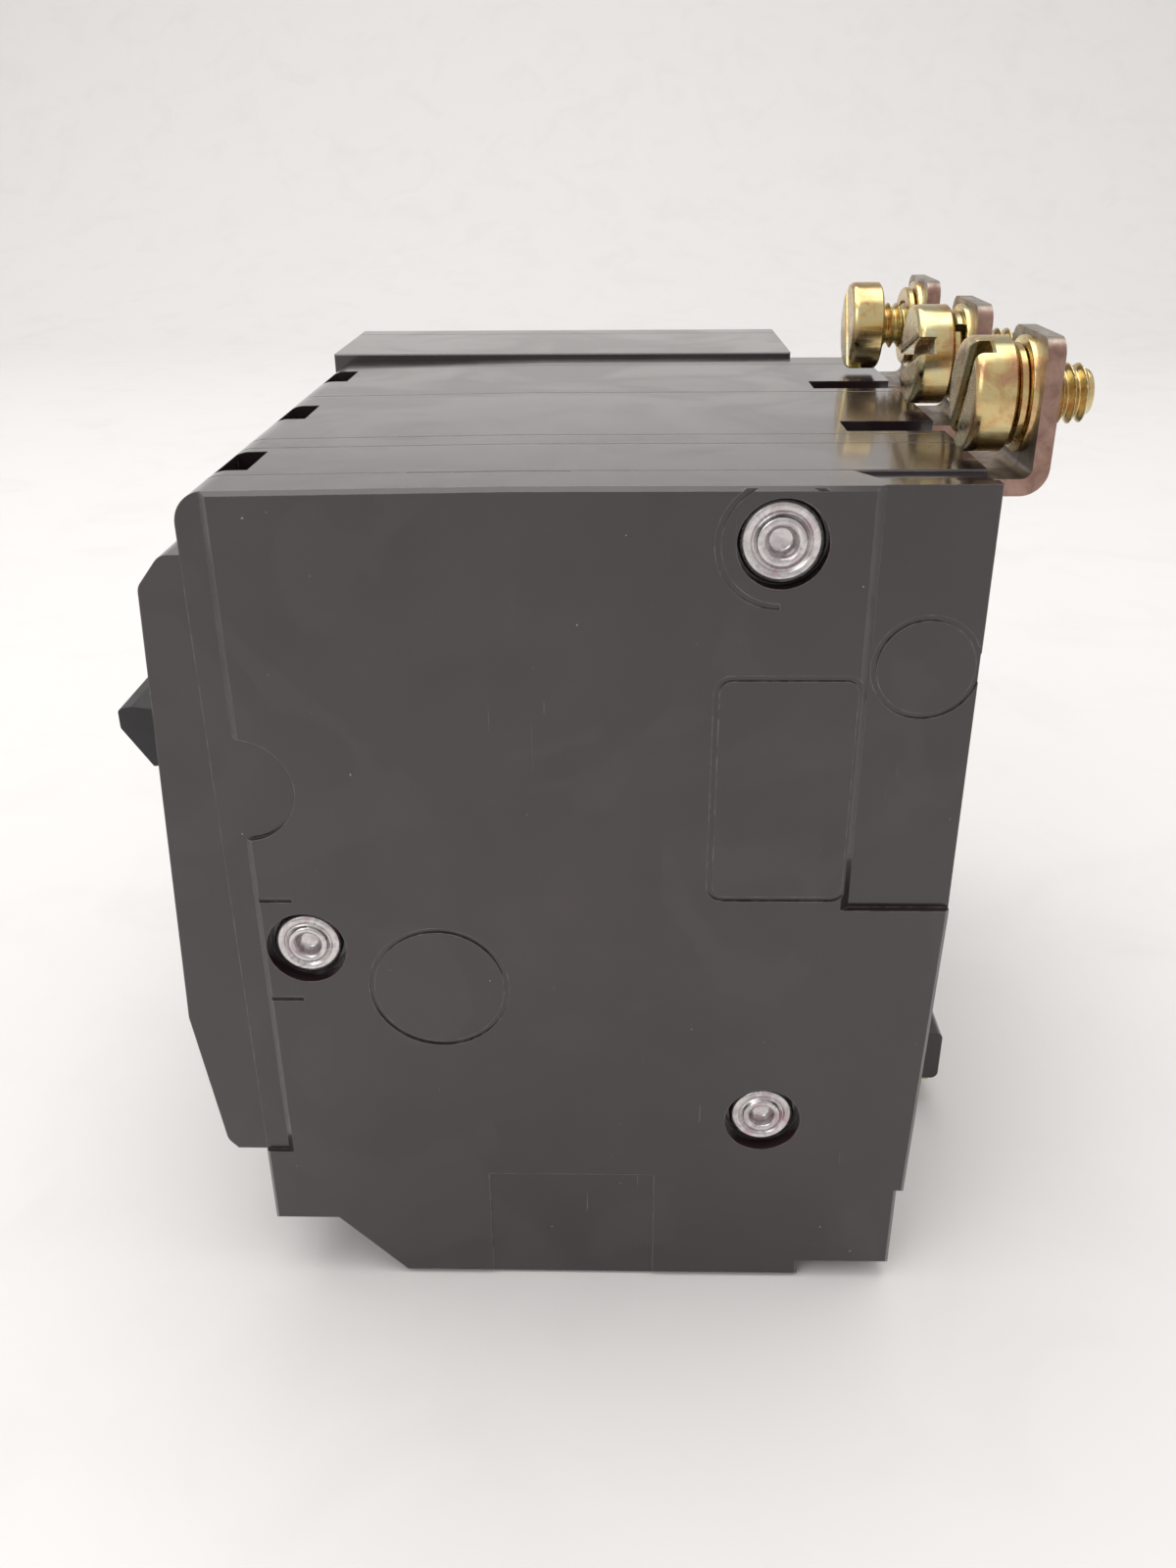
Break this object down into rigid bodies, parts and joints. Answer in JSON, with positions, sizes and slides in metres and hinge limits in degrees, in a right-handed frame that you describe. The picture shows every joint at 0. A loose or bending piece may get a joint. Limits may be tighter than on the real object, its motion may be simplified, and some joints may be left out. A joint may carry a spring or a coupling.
{
  "type": "moulded-case circuit breaker with ground-fault module",
  "caption": "Bolt-on moulded breaker with a ground-fault module beside it, one handle bar, bent line straps with captive screws and box lugs at the load end.",
  "frame": {"origin": "centre of the width on the flat of the load end", "axes": "+Z towards the line end, -Y towards the handle, +Y towards the mounting rear, +X towards the cover without the module"},
  "size_m": [0.0762, 0.0737, 0.0796],
  "materials": {
    "case_moulding": "semi-gloss moulded phenolic",
    "handle_moulding": "smooth moulded",
    "yellow_zinc_steel": "yellow zinc plate",
    "tinned_copper": "worn tin plate over copper",
    "zinc_rivet": "bright zinc plate",
    "lug_aluminium": "tin-plated aluminium",
    "bright_steel": "clear zinc plate",
    "bare_copper": "bare copper",
    "bimetal_strip": "rolled strip",
    "trip_bar_moulding": "moulded",
    "board_laminate": "resist-coated laminate",
    "ring_varnish": "varnished winding",
    "button_moulding": "moulded"
  },
  "bodies": {
    "case": {"arc_chute_1": "bright_steel", "arc_chute_2": "bright_steel", "arc_chute_3": "bright_steel", "bimetal_1": "bimetal_strip", "bimetal_2": "bimetal_strip", "bimetal_3": "bimetal_strip", "case_rivets": "zinc_rivet", "circuit_board": "board_laminate", "current_transformer": "ring_varnish", "end_cover": "case_moulding", "flat_washer_1": "yellow_zinc_steel", "flat_washer_2": "yellow_zinc_steel", "flat_washer_3": "yellow_zinc_steel", "line_strap_1": "tinned_copper", "line_strap_2": "tinned_copper", "line_strap_3": "tinned_copper", "load_lug_1": "lug_aluminium", "load_lug_2": "lug_aluminium", "load_lug_3": "lug_aluminium", "load_lug_neutral": "lug_aluminium", "lock_washer_1": "yellow_zinc_steel", "lock_washer_2": "yellow_zinc_steel", "lock_washer_3": "yellow_zinc_steel", "magnet_yoke_1": "bright_steel", "magnet_yoke_2": "bright_steel", "magnet_yoke_3": "bright_steel", "module_case": "case_moulding", "module_cover": "case_moulding", "near_cover": "case_moulding", "pole_1_case": "case_moulding", "pole_2_case": "case_moulding", "pole_2_cover": "case_moulding", "pole_3_case": "case_moulding", "rail_clip": "yellow_zinc_steel", "rail_foot": "case_moulding", "toggle_spring_1": "bright_steel", "toggle_spring_2": "bright_steel", "toggle_spring_3": "bright_steel", "trip_solenoid": "bare_copper"},
    "handle": {"handle": "handle_moulding"},
    "trip_bar": {"trip_bar": "trip_bar_moulding"},
    "test_button": {"test_button": "button_moulding", "test_spring": "bright_steel"},
    "trip_plunger": {"trip_plunger": "bright_steel"},
    "contact_arm_1": {"contact_arm_1": "bare_copper"},
    "trip_lever_1": {"trip_lever_1": "bright_steel"},
    "line_screw_1": {"line_screw_1": "yellow_zinc_steel"},
    "lug_screw_1": {"lug_screw_1": "bright_steel"},
    "contact_arm_2": {"contact_arm_2": "bare_copper"},
    "trip_lever_2": {"trip_lever_2": "bright_steel"},
    "line_screw_2": {"line_screw_2": "yellow_zinc_steel"},
    "lug_screw_2": {"lug_screw_2": "bright_steel"},
    "contact_arm_3": {"contact_arm_3": "bare_copper"},
    "trip_lever_3": {"trip_lever_3": "bright_steel"},
    "line_screw_3": {"line_screw_3": "yellow_zinc_steel"},
    "lug_screw_3": {"lug_screw_3": "bright_steel"},
    "lug_screw_neutral": {"lug_screw_neutral": "bright_steel"}
  },
  "joints": [
    {"name": "handle_turn", "type": "hinge", "parent": "case", "child": "handle", "pos_m": [0, -0.0259, 0.0484], "axis": [1, 0, 0], "range_deg": [-20, 26]},
    {"name": "trip_bar_turn", "type": "hinge", "parent": "case", "child": "trip_bar", "pos_m": [0, -0.006, 0.024], "axis": [1, 0, 0], "range_deg": [0, 8]},
    {"name": "contact_arm_1_turn", "type": "hinge", "parent": "case", "child": "contact_arm_1", "pos_m": [0.02857, 0.008, 0.038], "axis": [1, 0, 0], "range_deg": [-10, 13]},
    {"name": "trip_lever_1_turn", "type": "hinge", "parent": "case", "child": "trip_lever_1", "pos_m": [0.02857, -0.0145, 0.042], "axis": [1, 0, 0], "range_deg": [0, 12]},
    {"name": "contact_arm_2_turn", "type": "hinge", "parent": "case", "child": "contact_arm_2", "pos_m": [0.00953, 0.008, 0.038], "axis": [1, 0, 0], "range_deg": [-10, 13]},
    {"name": "trip_lever_2_turn", "type": "hinge", "parent": "case", "child": "trip_lever_2", "pos_m": [0.00953, -0.0145, 0.042], "axis": [1, 0, 0], "range_deg": [0, 12]},
    {"name": "contact_arm_3_turn", "type": "hinge", "parent": "case", "child": "contact_arm_3", "pos_m": [-0.00953, 0.008, 0.038], "axis": [1, 0, 0], "range_deg": [-10, 13]},
    {"name": "trip_lever_3_turn", "type": "hinge", "parent": "case", "child": "trip_lever_3", "pos_m": [-0.00953, -0.0145, 0.042], "axis": [1, 0, 0], "range_deg": [0, 12]},
    {"name": "plunger_throw", "type": "slide", "parent": "case", "child": "trip_plunger", "axis": [0, -1, 0], "range_m": [0, 0.0008]},
    {"name": "test_button_press", "type": "slide", "parent": "case", "child": "test_button", "axis": [0, 1, 0], "range_m": [0, 0.0015], "stiffness_N_per_m": 200, "springref_m": -0.0008},
    {"name": "line_screw_1_back_out", "type": "slide", "parent": "case", "child": "line_screw_1", "axis": [0, -1, 0], "range_m": [0, 0.003]},
    {"name": "line_screw_2_back_out", "type": "slide", "parent": "case", "child": "line_screw_2", "axis": [0, -1, 0], "range_m": [0, 0.003]},
    {"name": "line_screw_3_run_in", "type": "slide", "parent": "case", "child": "line_screw_3", "axis": [0, 1, 0], "range_m": [0, 0.0022]},
    {"name": "lug_screw_1_tighten", "type": "slide", "parent": "case", "child": "lug_screw_1", "axis": [0, 1, 0], "range_m": [0, 0.003]},
    {"name": "lug_screw_2_tighten", "type": "slide", "parent": "case", "child": "lug_screw_2", "axis": [0, 1, 0], "range_m": [0, 0.003]},
    {"name": "lug_screw_3_tighten", "type": "slide", "parent": "case", "child": "lug_screw_3", "axis": [0, 1, 0], "range_m": [0, 0.003]},
    {"name": "lug_screw_neutral_tighten", "type": "slide", "parent": "case", "child": "lug_screw_neutral", "axis": [0, 1, 0], "range_m": [0, 0.003]}
  ],
  "couplings": [
    {"joint": "contact_arm_1_turn", "follows": "handle_turn", "ratio": 0.5},
    {"joint": "trip_lever_1_turn", "follows": "trip_bar_turn", "ratio": 1.5},
    {"joint": "contact_arm_2_turn", "follows": "handle_turn", "ratio": 0.5},
    {"joint": "trip_lever_2_turn", "follows": "trip_bar_turn", "ratio": 1.5},
    {"joint": "contact_arm_3_turn", "follows": "handle_turn", "ratio": 0.5},
    {"joint": "trip_lever_3_turn", "follows": "trip_bar_turn", "ratio": 1.5}
  ]
}
